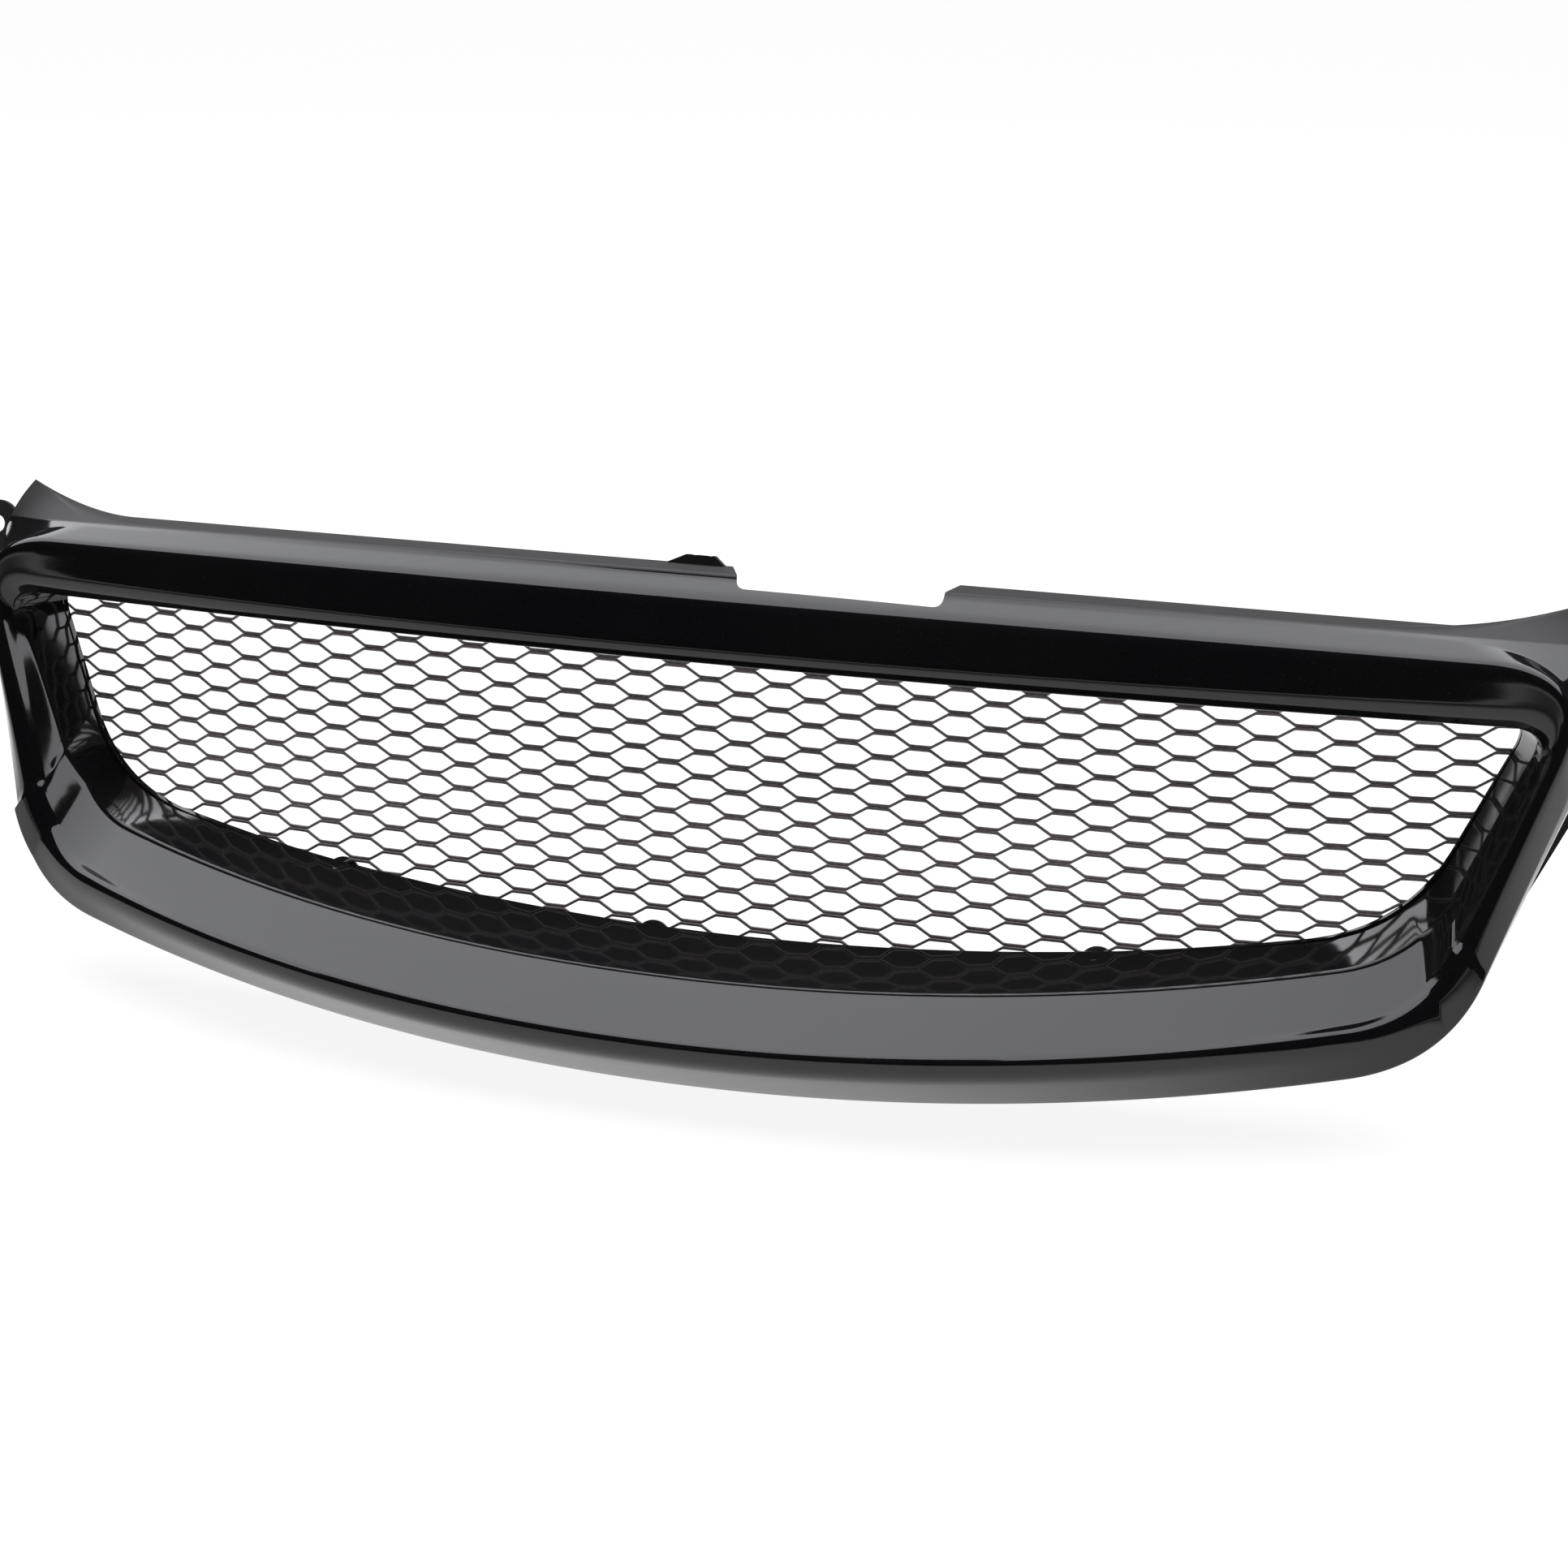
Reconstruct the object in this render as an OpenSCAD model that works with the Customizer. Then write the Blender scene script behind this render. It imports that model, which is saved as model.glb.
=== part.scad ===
/* [Bezel] */
// Width of the front opening between its upper corners
opening_w = 544; // [450:1:655]
// Height of the front opening at its ends
opening_h = 121; // [100:1:146]
// How far the upper edge of the opening droops at the middle
opening_droop = 3; // [0:0.5:8]
// How far each side of the opening slopes in towards the chin
side_rake = 31; // [20:1:45]
// Height of the lower corners above the bottom of the opening
chin_rise = 31; // [20:1:45]
// How far the chin bulges forward of the side rims
chin_bulge = 54; // [35:1:65]
// How far the top bar bulges forward of the side rims
bar_bulge = 15; // [5:1:25]
// Width of the rounded rim at the sides
rim_side = 13; // [10:0.5:18]
// Height of the rim under the chin
rim_chin = 18.5; // [14:0.5:24]
// Height of the upright face of the top bar
bar_face = 18.5; // [14:0.5:24]
// Depth of the flat flange behind the top bar
flange_depth = 21; // [16:1:30]
// Height of the pointed ear at each end of the flange
ear_h = 11; // [6:0.5:16]
// Wall thickness of the moulded parts
wall = 3; // [2:0.1:4]

/* [Notch and tongue] */
// Middle of the latch notch, measured from the centre line
notch_x = 44; // [30:1:60]
// Width of the latch notch at its front
notch_w = 69; // [40:1:80]
// How far the left side of the notch flares towards the back
notch_flare = 10; // [0:1:14]
// Depth of the latch notch from the back of the flange
notch_depth = 25; // [10:1:26]
// Radius of the notch corners
notch_r = 3; // [1:0.5:8]
// Width of the low tongue beside the notch
tongue_w = 20; // [10:1:30]
// Height of the tongue above the flange
tongue_h = 3; // [1:0.5:6]

/* [Mesh] */
// How far the mesh window is inside the opening at each upper corner
window_inset = 7.5; // [5:0.5:12]
// How far the bottom of the mesh window is above the bottom of the opening
shelf_rise = 26; // [20:0.5:32]
// Length of one mesh cell, bond centre to bond centre
cell_l = 25; // [18:0.5:32]
// Height of one mesh cell
cell_h = 8.35; // [6:0.05:12]
// Width of a mesh strand
strand_w = 0.9; // [0.7:0.1:1.6]
// Length of the bond where two strands run side by side
bond_l = 7.7; // [5:0.1:10]
// Thickness of the mesh sheet
mesh_t = 1.5; // [1:0.1:2.5]
// How far the mesh reaches past the window on every side
mesh_lap = 11; // [9:0.5:12]
// Straight middle stretch of the mesh, as a share of the opening width
flat_share = 0.55; // [0.54:0.01:0.62]
// Angle that each end of the mesh folds back
mesh_fold = 7.4; // [3:0.1:9]
// Thickness of the plate that the mesh is screwed to
plate_t = 2.5; // [2:0.1:4]

/* [Fixings] */
// Diameter of the screws
screw_d = 4; // [3:0.5:5]
// Diameter of the screw heads
head_d = 7; // [6:0.5:9]
// Diameter of the mesh washers
washer_d = 13; // [10:0.5:14]
// Thickness of the mesh washers
washer_t = 1; // [0.6:0.1:1.6]
// Diameter of the bosses behind the lower screws
boss_d = 7; // [6:0.5:8]
// Distance of a lower mesh screw from the edge of the window
lower_inset = 5; // [4.5:0.5:6]
// Distance of an upper mesh screw from the edge of the window
upper_inset = 7; // [6:0.5:8]
// Spread of the outer lower mesh screws, as a share of the opening width
lower_share = 0.5; // [0.42:0.01:0.5]
// Offset of the middle lower mesh screw from the centre line
middle_screw_x = -18; // [-30:1:30]
// Spread of the inner upper mesh screws, as a share of the opening width
upper_in_share = 0.22; // [0.15:0.01:0.33]
// Spread of the outer upper mesh screws, as a share of the opening width
upper_out_share = 0.7; // [0.66:0.01:0.74]
// Spread of the inner joint screws, as a share of the opening width
joint_in_share = 0.43; // [0.39:0.01:0.48]
// Spread of the outer joint screws, as a share of the opening width
joint_out_share = 0.83; // [0.79:0.01:0.84]
// Spread of the locating pins, as a share of the opening width
pin_share = 0.35; // [0.25:0.01:0.4]
// Diameter of the locating pins
pin_d = 8; // [6:0.5:10]
// Length of the locating pins behind their plate
pin_l = 15; // [10:1:20]
// Diameter of the bolt hole in each end bracket
bolt_hole_d = 6.5; // [5:0.5:8]
// Thickness of the end brackets
steel_t = 2; // [1.5:0.5:3]

/* [Stance] */
// Angle that the front leans back
lean = 15.2; // [0:0.1:25]

/* [Hidden] */
$fn = 32;

// Heights before the lean, when x is right, y back and z up. The mesh plane is at y = 0.
window_top = 46;
opening_top = window_top - 3.5;
opening_bottom = opening_top - opening_h;
window_bottom = opening_bottom + shelf_rise;
bar_top = opening_top + bar_face;
flange_z = bar_top + 11;
chin_bottom = opening_bottom - rim_chin;

// Half widths, and the height of the lower corners
half_top = opening_w / 2;
half_chin = half_top - side_rake;
corner_z = opening_bottom + chin_rise;
outer_x = half_top + rim_side;
outer_chin = half_chin + rim_side;
EAR_START = half_top - 36;
mesh_flat = half_top * flat_share;

// Depths of the front edge of the opening
side_front = -10;
corner_front = side_front - 7;
bar_front = side_front - bar_bulge;
nose_front = corner_front - chin_bulge;
flange_back = bar_front + 8 + flange_depth;
ear_back = side_front + 9 + flange_depth;

// Steps along the top, a corner, a side and the bottom of half a loop
TOP_N = 16;
CORNER_N = 8;
SIDE_N = 6;
BOTTOM_N = 16;

// Clearances: screw shanks in their holes, and the end brackets behind the moulding
SHANK_GAP = 0.1;
BRACKET_GAP = 2;

// The plane of the end brackets, and their rounded tops
bracket_y = ear_back + BRACKET_GAP;
bracket_top = flange_z + 2.4;
bracket_r = 9;
bracket_lobe_r = 5.5;

function clamp01(t) = min(max(t, 0), 1);
// A point on the quadratic curve from a to c that leans towards p
function curve(a, p, c, t) = (1 - t) * (1 - t) * a + 2 * t * (1 - t) * p + t * t * c;
// 1 on the centre line, falling to 0 at x = w
function bulge(x, w, n) = 1 - pow(clamp01(abs(x) / w), n);

// A loop is [upper corner x, top z, droop, corner cut, lower corner x, z, cut, bottom z,
//   depth at top centre, upper corner, lower corner, bottom centre, ear rise, ear drop]
function upper_corner(s) = [s[0], s[1] - s[13]];
function lower_corner(s) = [s[4], s[5]];
function side_dir(s) = let (d = lower_corner(s) - upper_corner(s)) d / norm(d);
function side_x(s, z) = s[0] + (s[4] - s[0]) * (s[1] - s[13] - z) / (s[1] - s[13] - s[5]);
function top_z(s, x) = s[1] - s[2] * bulge(x, s[0], 2)
  + s[12] * pow(clamp01((x - EAR_START) / (s[0] - s[3] - EAR_START)), 1.8);
function bottom_z(s, x) = s[7] + (s[5] - s[7]) * pow(x / s[4], 2);
function top_y(s, x) = s[9] + (s[8] - s[9]) * bulge(x, s[0], 2);
function bottom_y(s, x) = s[10] + (s[11] - s[10]) * bulge(x, s[4], 2.4);
function side_y(s, z) = s[10] + (s[9] - s[10]) * clamp01((z - s[5]) / (s[1] - s[13] - s[5]));
function seat(p, y) = [p[0], y, p[1]];

// The right half of a loop, from the top centre round to the bottom centre
function half_loop(s) = let (
    a = [s[0] - s[3], top_z(s, s[0] - s[3])],
    c = upper_corner(s) + side_dir(s) * s[3],
    d = lower_corner(s) - side_dir(s) * s[6],
    e = [s[4] - s[6], bottom_z(s, s[4] - s[6])])
  concat(
    [for (i = [0 : TOP_N - 1]) let (x = a[0] * i / TOP_N) [x, top_y(s, x), top_z(s, x)]],
    [for (i = [0 : CORNER_N - 1]) let (p = curve(a, upper_corner(s), c, i / CORNER_N)) seat(p, top_y(s, p[0]))],
    [for (i = [0 : SIDE_N - 1]) let (t = i / SIDE_N, p = c * (1 - t) + d * t)
      seat(p, side_y(s, p[1]) * t + top_y(s, p[0]) * (1 - t))],
    [for (i = [0 : CORNER_N - 1]) let (p = curve(d, lower_corner(s), e, i / CORNER_N)) seat(p, bottom_y(s, p[0]))],
    [for (i = [0 : BOTTOM_N]) let (x = e[0] * (1 - i / BOTTOM_N)) [x, bottom_y(s, x), bottom_z(s, x)]]);
// The whole loop, clockwise seen from the front
function loop(s) = let (h = half_loop(s), n = len(h))
  concat(h, [for (i = [n - 2 : -1 : 1]) [-h[i][0], h[i][1], h[i][2]]]);

// The loops of the mouldings, from the mesh window out over the rim to the rear edge
window_loop = [half_top - window_inset, window_top, 0, 12, half_chin - 9, corner_z + 22, 30, window_bottom,
  0, 0, 0, 0, 0, 0];
crease_loop = [half_top - 1.5, opening_top + 1, 2, 13, half_chin - 3, corner_z + 14.5, 22, opening_bottom + 17.5,
  bar_front + 8, -6, -6, nose_front + 23.5, 0, 0];
edge_loop = [half_top, opening_top, opening_droop, 14, half_chin, corner_z, 22, opening_bottom,
  bar_front, side_front, corner_front, nose_front, 0, 0];
lip_loop = [half_top + 4, opening_top + 4, opening_droop, 16, half_chin + 3, corner_z - 2, 22,
  opening_bottom - 2, bar_front - 3, side_front - 4, corner_front - 3, nose_front - 1, 0, 0];
crest_loop = [outer_x - 1, bar_top, 0, 30, half_chin + 5, corner_z - 6.5, 25,
  opening_bottom - rim_chin * 0.4, bar_front - 1, side_front - 6, corner_front - 3, nose_front + 2, 0, 0];
roll_loop = [outer_x + 8, bar_top + 6.5, 0, 55, outer_chin - 4, corner_z - 15.5, 28,
  chin_bottom, bar_front + 7, side_front + 4, corner_front - 1, nose_front + 26, 0, 0];
step_loop = [outer_x + 11, bar_top + 8.5, 0, 55, outer_chin - 4, corner_z - 15.5, 28,
  chin_bottom + 1, bar_front + 8, side_front + 9, corner_front + 9, nose_front + 38, 0, 0];
rear_loop = [outer_x + 13, flange_z, 0, 18, outer_chin - 7, corner_z - 13, 28,
  chin_bottom + 6, flange_back, ear_back, 3, nose_front + 57, ear_h, 7];

// The mesh runs straight across the middle and folds back at both ends
function mesh_y(x) = max(abs(x) - mesh_flat, 0) * tan(mesh_fold);
function on_mesh(pts, y) = [for (p = pts) [p[0], mesh_y(p[0]) + y, p[2]]];
FAR = 340;
function fold_line(d) = let (x = mesh_flat - d * tan(mesh_fold / 2), y = mesh_y(FAR) + d / cos(mesh_fold))
  [[-FAR, y], [-x, d], [x, d], [FAR, y]];

// Points of a row moved by the wall thickness to its hidden side
function hidden_row(rows, k) = let (n = len(rows[k]), a = max(k - 1, 0), b = min(k + 1, len(rows) - 1))
  [for (i = [0 : n - 1]) let (
      along = rows[k][(i + 1) % n] - rows[k][(i + n - 1) % n],
      c = cross(rows[b][i] - rows[a][i], along))
    rows[k][i] + wall * c / norm(c)];

ROWS = concat([on_mesh(loop(window_loop), mesh_t)],
  [for (s = [crease_loop, edge_loop, lip_loop, crest_loop, roll_loop, step_loop, rear_loop]) loop(s)]);
HIDDEN = [for (k = [0 : len(ROWS) - 1]) hidden_row(ROWS, k)];
// The duct runs from row 0 to this row, and the bezel from there outwards
JOINT_ROW = 2;

// A closed wall from row a to row b
module band(a, b) {
  n = len(ROWS[0]);
  rows = concat([for (k = [a : b]) ROWS[k]], [for (k = [b : -1 : a]) HIDDEN[k]]);
  m = len(rows);
  faces = [for (k = [0 : m - 1]) for (i = [0 : n - 1])
    let (p = k * n + i, q = k * n + (i + 1) % n, r = (k + 1) % m * n)
    each [[p, r + (i + 1) % n, q], [p, r + i, r + (i + 1) % n]]];
  polyhedron(points = [for (r = rows) each r], faces = faces, convexity = 10);
}

// The front leans back and stands on its lowest edge, with the origin under the middle of its depth
function leaned_y(p) = p[1] * cos(lean) + p[2] * sin(lean);
function leaned_z(p) = p[2] * cos(lean) - p[1] * sin(lean);
SKIN = [for (r = concat(ROWS, HIDDEN)) each r];
LIFT = -min([for (p = SKIN) leaned_z(p)]);
SHIFT = -(min([for (p = SKIN) leaned_y(p)]) + leaned_y([0, bracket_y + steel_t, bracket_top])) / 2;
module placed() {
  translate([0, SHIFT, LIFT]) rotate([-lean, 0, 0]) children();
}

// Upright outlines drawn in x and z, cut out of the folded sheet between depths d1 and d2
module sheet(d1, d2) {
  intersection() {
    translate([0, FAR / 2, 0]) rotate([90, 0, 0]) linear_extrude(FAR) children();
    translate([0, 0, -FAR / 2]) linear_extrude(FAR)
      polygon(concat(fold_line(d1), [for (i = [3 : -1 : 0]) fold_line(d2)[i]]));
  }
}
// Places its children on the mesh at x and z, square to it, with z pointing backwards
module on_sheet(p) {
  fold = abs(p[0]) > mesh_flat ? sign(p[0]) * mesh_fold : 0;
  translate([p[0], mesh_y(p[0]), p[1]]) rotate([0, 0, fold]) rotate([-90, 0, 0]) children();
}
module window_outline(lap) {
  offset(r = lap) polygon([for (p = loop(window_loop)) [p[0], p[2]]]);
}

// Screw positions
lower_screws = [for (x = [-half_top * lower_share, middle_screw_x, half_top * lower_share])
  [x, bottom_z(window_loop, x) - lower_inset]];
upper_screws = [for (share = [-upper_out_share, -upper_in_share, upper_in_share, upper_out_share])
  [half_top * share, window_top + upper_inset]];
joint_z = flange_z - 10;
joint_screw_x = half_top * [-joint_out_share, -joint_in_share, joint_in_share, joint_out_share];
pin_x = half_top * pin_share;
pin_z = bottom_z(window_loop, pin_x) - mesh_lap - 6;
BOSS_L = 5;
JOINT_BOSS_R = 4;
JOINT_SCREW_L = 12;
// How much deeper a screw hole is than its screw
HOLE_REST = 2;

// A pan head screw: the underside of the head at z = 0, the shank towards -z
module screw(length) {
  difference() {
    union() {
      translate([0, 0, -length]) cylinder(d = screw_d, h = length);
      rotate_extrude() intersection() {
        translate([0, 2.4 - head_d * 0.8]) circle(r = head_d * 0.8, $fn = 96);
        square([head_d / 2, 2.4]);
      }
    }
    for (a = [0, 90]) rotate(a) translate([-1.9, -0.4, 1]) cube([3.8, 0.8, 2]);
  }
}
module shank_hole(depth) {
  translate([0, 0, -depth]) cylinder(d = screw_d + SHANK_GAP, h = depth + 3);
}

module notch_cut() {
  x1 = notch_x - notch_w / 2;
  x2 = notch_x + notch_w / 2;
  y1 = flange_back - notch_depth;
  y2 = flange_back + 20;
  flare = notch_flare * (y2 - y1) / notch_depth;
  translate([0, 0, bar_top - 3]) linear_extrude(FAR) offset(r = notch_r) offset(r = -notch_r)
    polygon([[x1, y1], [x2, y1], [x2, y2], [x1 - flare, y2]]);
}
module tongue() {
  x = notch_x - notch_w / 2 - notch_flare - 12.5;
  translate([x, flange_back, flange_z - 2]) rotate([90, 0, 0]) linear_extrude(wall)
    polygon([[-tongue_w / 2, 0], [tongue_w / 2, 0], [tongue_w / 2, 2], [tongue_w * 0.32, 2 + tongue_h],
      [-tongue_w * 0.18, 2 + tongue_h], [-tongue_w / 2, 2]]);
}

// The end brackets: two screws on straight stretches of the side walls, and a bolt hole outboard
BRACKET_BOSS_R = 4.5;
BRACKET_BOSS_L = 24;
BRACKET_SCREW_L = 14;
bolt_x = outer_x + 13;
bolt_z = bracket_top - bracket_r;
bracket_screw_at = [for (z = [-15, 15]) [side_x(step_loop, z) - wall - 3, z]];

module bezel() {
  color([0.05, 0.05, 0.055]) placed() {
    difference() {
      union() {
        band(JOINT_ROW, len(ROWS) - 1);
        tongue();
        for (x = joint_screw_x) intersection() {
          on_sheet([x, joint_z]) translate([0, 0, -40]) cylinder(r = JOINT_BOSS_R, h = 80);
          difference() {
            translate([-FAR, top_y(step_loop, x) - 3, 0]) cube([2 * FAR, 40, FAR]);
            translate([0, 0, -FAR / 2]) linear_extrude(2 * FAR)
              polygon(concat(fold_line(-mesh_t / 2 - plate_t), [[FAR, FAR], [-FAR, FAR]]));
          }
        }
        for (side = [-1, 1]) for (p = bracket_screw_at)
          translate([side * p[0], bracket_y, p[1]]) rotate([90, 0, 0]) cylinder(r = BRACKET_BOSS_R, h = BRACKET_BOSS_L);
      }
      notch_cut();
      for (x = joint_screw_x) on_sheet([x, joint_z]) shank_hole(JOINT_SCREW_L + HOLE_REST);
      for (side = [-1, 1]) for (p = bracket_screw_at)
        translate([side * p[0], bracket_y, p[1]]) rotate([-90, 0, 0]) shank_hole(BRACKET_SCREW_L - steel_t + HOLE_REST);
    }
  }
}

module duct() {
  color([0.07, 0.07, 0.075]) placed() difference() {
    union() {
      difference() {
        union() {
          band(0, JOINT_ROW);
          for (p = lower_screws) on_sheet(p) translate([0, 0, -mesh_t / 2 - plate_t - BOSS_L])
            cylinder(d = boss_d, h = BOSS_L + plate_t);
          for (p = upper_screws) on_sheet(p) translate([0, 0, -mesh_t / 2 - plate_t - BOSS_L])
            cylinder(d = boss_d, h = BOSS_L + plate_t);
        }
        translate([0, 0, -FAR / 2]) linear_extrude(FAR)
          polygon(concat(fold_line(-mesh_t / 2), [[FAR, FAR], [-FAR, FAR]]));
      }
      sheet(-mesh_t / 2 - plate_t, -mesh_t / 2) difference() {
        union() {
          window_outline(mesh_lap + 1);
          for (x = joint_screw_x) {
            translate([x, joint_z]) circle(r = JOINT_BOSS_R);
            translate([x - JOINT_BOSS_R, window_top + 5]) square([2 * JOINT_BOSS_R, joint_z - window_top - 5]);
          }
          for (side = [-1, 1]) {
            translate([side * pin_x, pin_z]) circle(d = pin_d + 5);
            translate([side * pin_x - pin_d / 2 - 2.5, pin_z]) square([pin_d + 5, mesh_lap + 2]);
          }
        }
        window_outline(0.4);
      }
      for (side = [-1, 1]) on_sheet([side * pin_x, pin_z]) translate([0, 0, -mesh_t / 2 - plate_t])
        cylinder(d = pin_d, h = plate_t + pin_l);
    }
    for (p = concat(lower_screws, upper_screws)) on_sheet(p) shank_hole(mesh_t / 2 + plate_t + BOSS_L - 1);
    for (x = joint_screw_x) on_sheet([x, joint_z]) shank_hole(JOINT_SCREW_L + HOLE_REST);
  }
}

// The cells of the mesh whose middle lies inside the sheet
cell_top = window_top + mesh_lap - 1;
function in_sheet(x, z) = z < cell_top && z > bottom_z(window_loop, min(abs(x), window_loop[4])) - mesh_lap + 1
  && abs(x) < side_x(window_loop, z) + mesh_lap - 1;
cell_half_l = (cell_l - bond_l) / 2 - strand_w * 0.3;
cell_half_h = cell_h / 2 - strand_w * 1.15;
CELLS_X = ceil(opening_w / cell_l) + 1;
CELLS_Z = ceil(opening_h / cell_h) + 2;
// The middle of one cell, right of the centre line
MESH_START = 8.1;
cells = [for (j = [-CELLS_Z : CELLS_Z]) for (i = [-CELLS_X : CELLS_X])
  let (x = MESH_START + i * cell_l / 2, z = j * cell_h / 2)
  if ((i + j) % 2 == 0 && in_sheet(x, z)) [x, z]];

module mesh_panel() {
  color([0.36, 0.33, 0.34]) placed() difference() {
    sheet(-mesh_t / 2, mesh_t / 2) difference() {
      window_outline(mesh_lap);
      for (c = cells) translate(c)
        polygon([[-cell_half_l, 0], [-bond_l / 2, cell_half_h], [bond_l / 2, cell_half_h],
          [cell_half_l, 0], [bond_l / 2, -cell_half_h], [-bond_l / 2, -cell_half_h]]);
    }
    for (p = concat(lower_screws, upper_screws)) on_sheet(p) shank_hole(3);
  }
}

module mesh_screws(places) {
  for (p = places) on_sheet(p) translate([0, 0, mesh_t / 2 + washer_t])
    screw(washer_t + mesh_t + plate_t + BOSS_L - 2);
}
module mesh_washers(places) {
  for (p = places) on_sheet(p) translate([0, 0, mesh_t / 2]) difference() {
    cylinder(d = washer_d, h = washer_t);
    translate([0, 0, -1]) cylinder(d = screw_d + 0.6, h = washer_t + 2);
  }
}
module lower_mesh_screws() {
  color([0.2, 0.2, 0.21]) placed() mesh_screws(lower_screws);
}
module lower_mesh_washers() {
  color([0.6, 0.6, 0.62]) placed() mesh_washers(lower_screws);
}
module upper_mesh_screws() {
  color([0.2, 0.2, 0.21]) placed() mesh_screws(upper_screws);
}
module upper_mesh_washers() {
  color([0.6, 0.6, 0.62]) placed() mesh_washers(upper_screws);
}
module joint_screws() {
  color([0.2, 0.2, 0.21]) placed() for (x = joint_screw_x) on_sheet([x, joint_z])
    translate([0, 0, -mesh_t / 2]) screw(JOINT_SCREW_L);
}

module end_bracket(side) {
  color([0.1, 0.1, 0.1]) placed() translate([0, bracket_y, 0]) rotate([90, 0, 0])
    translate([0, 0, -steel_t]) linear_extrude(steel_t) difference() {
      union() {
        offset(r = bracket_lobe_r) polygon([[side * bolt_x, bolt_z],
          [side * bracket_screw_at[0][0], bracket_screw_at[0][1]],
          [side * bracket_screw_at[1][0], bracket_screw_at[1][1]]]);
        translate([side * bolt_x, bolt_z]) circle(r = bracket_r);
      }
      translate([side * bolt_x, bolt_z]) circle(d = bolt_hole_d);
      for (p = bracket_screw_at) translate([side * p[0], p[1]]) circle(d = screw_d + SHANK_GAP);
    }
}
module end_bracket_left() {
  end_bracket(-1);
}
module end_bracket_right() {
  end_bracket(1);
}
module bracket_screws(side) {
  color([0.6, 0.6, 0.62]) placed() for (p = bracket_screw_at)
    translate([side * p[0], bracket_y + steel_t, p[1]]) rotate([-90, 0, 0]) screw(BRACKET_SCREW_L);
}
module bracket_screws_left() {
  bracket_screws(-1);
}
module bracket_screws_right() {
  bracket_screws(1);
}

bezel();
duct();
mesh_panel();
lower_mesh_screws();
lower_mesh_washers();
upper_mesh_screws();
upper_mesh_washers();
joint_screws();
end_bracket_left();
end_bracket_right();
bracket_screws_left();
bracket_screws_right();
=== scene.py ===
import math

import bpy
import numpy as np
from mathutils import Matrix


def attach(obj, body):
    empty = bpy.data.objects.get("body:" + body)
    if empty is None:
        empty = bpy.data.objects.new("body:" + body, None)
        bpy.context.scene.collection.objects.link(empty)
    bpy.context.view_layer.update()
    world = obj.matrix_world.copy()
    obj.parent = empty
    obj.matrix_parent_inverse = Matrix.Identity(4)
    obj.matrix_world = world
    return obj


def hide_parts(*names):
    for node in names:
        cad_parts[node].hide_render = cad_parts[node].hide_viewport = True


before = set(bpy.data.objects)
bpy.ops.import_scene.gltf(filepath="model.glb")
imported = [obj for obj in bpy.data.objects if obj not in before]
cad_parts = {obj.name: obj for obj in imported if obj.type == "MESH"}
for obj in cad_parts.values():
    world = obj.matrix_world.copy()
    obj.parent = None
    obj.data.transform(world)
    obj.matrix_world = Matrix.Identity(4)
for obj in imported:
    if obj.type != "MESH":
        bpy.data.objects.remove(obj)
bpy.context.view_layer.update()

# ---------------------------------------------------------------------------
# Bezel. One injection moulding in gloss black ABS: top bar, rolled rim, chin,
# stepped flange with the latch notch and its tongue, and an ear at each end.
# Bosses behind it take the joint screws and the end bracket screws.
# ---------------------------------------------------------------------------
MM = 0.001
LEAN = math.radians(15.2)
WALL = 3.0
WINDOW_TOP = 46.0
OPENING_TOP = WINDOW_TOP - 3.5
OPENING_BOTTOM = OPENING_TOP - 121.0
BAR_TOP = OPENING_TOP + 18.5
FLANGE_Z = BAR_TOP + 11.0
CHIN_BOTTOM = OPENING_BOTTOM - 18.5
HALF_TOP = 272.0
HALF_CHIN = 241.0
CORNER_Z = OPENING_BOTTOM + 31.0
OUTER_X = HALF_TOP + 13.0
OUTER_CHIN = HALF_CHIN + 13.0
SIDE_FRONT = -10.0
CORNER_FRONT = SIDE_FRONT - 7.0
BAR_FRONT = SIDE_FRONT - 15.0
NOSE_FRONT = CORNER_FRONT - 54.0
FLANGE_BACK = BAR_FRONT + 29.0
EAR_BACK = SIDE_FRONT + 30.0
EAR_START = 236.0
MESH_T = 1.5
FOLD = math.tan(math.radians(7.4))
FLAT = HALF_TOP * 0.55
SOFT_BEND = 12.0

# Each loop of the mouldings: upper corner x, top z, droop, corner cut, lower corner x, z, cut, bottom z,
# depth at top centre, upper corner, lower corner and bottom centre, ear rise, ear drop
WINDOW = (264.5, WINDOW_TOP, 0, 12, HALF_CHIN - 9, CORNER_Z + 22, 30, WINDOW_TOP - 98.5, 0, 0, 0, 0, 0, 0)
CREASE = (HALF_TOP - 1.5, OPENING_TOP + 1, 2, 13, HALF_CHIN - 3, CORNER_Z + 14.5, 22, OPENING_BOTTOM + 17.5,
          BAR_FRONT + 8, -6, -6, NOSE_FRONT + 23.5, 0, 0)
EDGE = (HALF_TOP, OPENING_TOP, 3, 14, HALF_CHIN, CORNER_Z, 22, OPENING_BOTTOM,
        BAR_FRONT, SIDE_FRONT, CORNER_FRONT, NOSE_FRONT, 0, 0)
LIP = (HALF_TOP + 4, OPENING_TOP + 4, 3, 16, HALF_CHIN + 3, CORNER_Z - 2, 22, OPENING_BOTTOM - 2,
       BAR_FRONT - 3, SIDE_FRONT - 4, CORNER_FRONT - 3, NOSE_FRONT - 1, 0, 0)
CREST = (OUTER_X - 1, BAR_TOP, 0, 30, HALF_CHIN + 5, CORNER_Z - 6.5, 25, OPENING_BOTTOM - 7.4,
         BAR_FRONT - 1, SIDE_FRONT - 6, CORNER_FRONT - 3, NOSE_FRONT + 2, 0, 0)
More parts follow.
